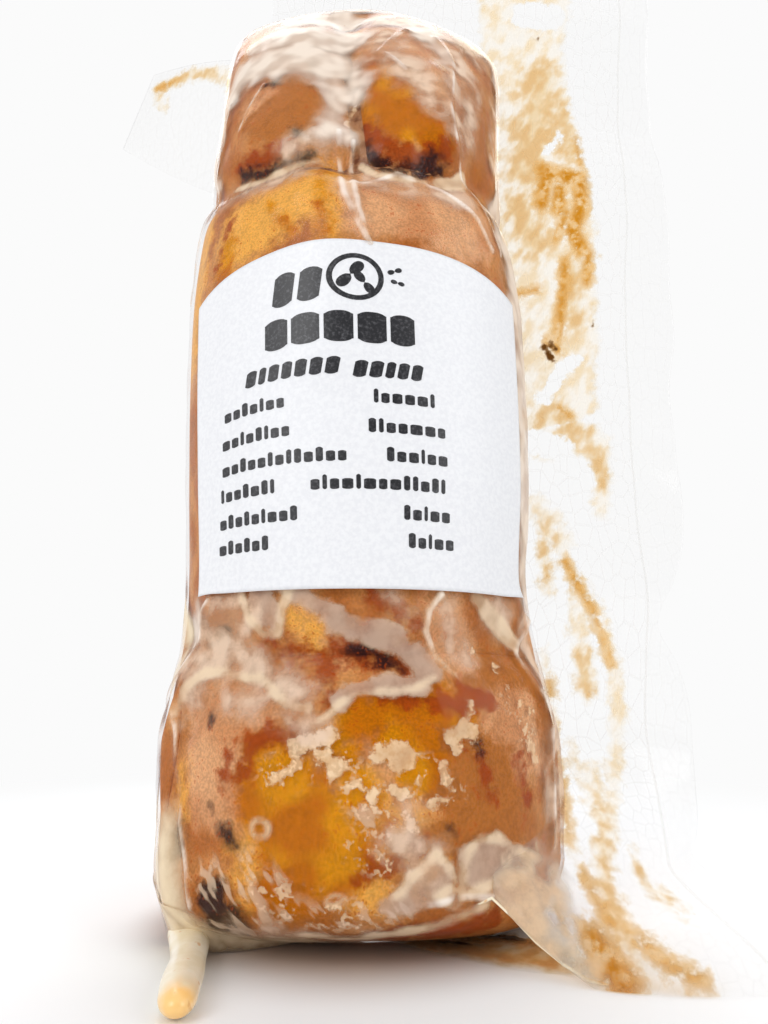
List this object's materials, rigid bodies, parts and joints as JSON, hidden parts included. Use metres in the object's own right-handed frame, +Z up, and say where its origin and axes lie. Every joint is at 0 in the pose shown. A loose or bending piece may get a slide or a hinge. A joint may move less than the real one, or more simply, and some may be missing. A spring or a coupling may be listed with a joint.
{
  "type": "vacuum packed fried plantain",
  "caption": "Sweet fried plantain pieces vacuum packed in a clear bag that stands on its end, with a paper label round the front and loose flat film at the side, top and foot.",
  "frame": {"origin": "centre of the flat that the pouch stands on, below the axis of the filled body", "axes": "+Z up along the filled body, -Y towards the label side, +X towards the wide side margin of the bag"},
  "size_m": [0.0916, 0.0522, 0.154],
  "materials": {
    "plantain_in_film": "glossy clear vacuum film drawn tight over amber and pinkish brown fried plantain with cream fat in the clefts; the empty film is clear with an embossed net and dried brown juice",
    "label_paper": "smooth white coated label paper with plain dark print bars"
  },
  "bodies": {
    "root": {"pouch": "plantain_in_film", "label": "label_paper"}
  },
  "joints": []
}
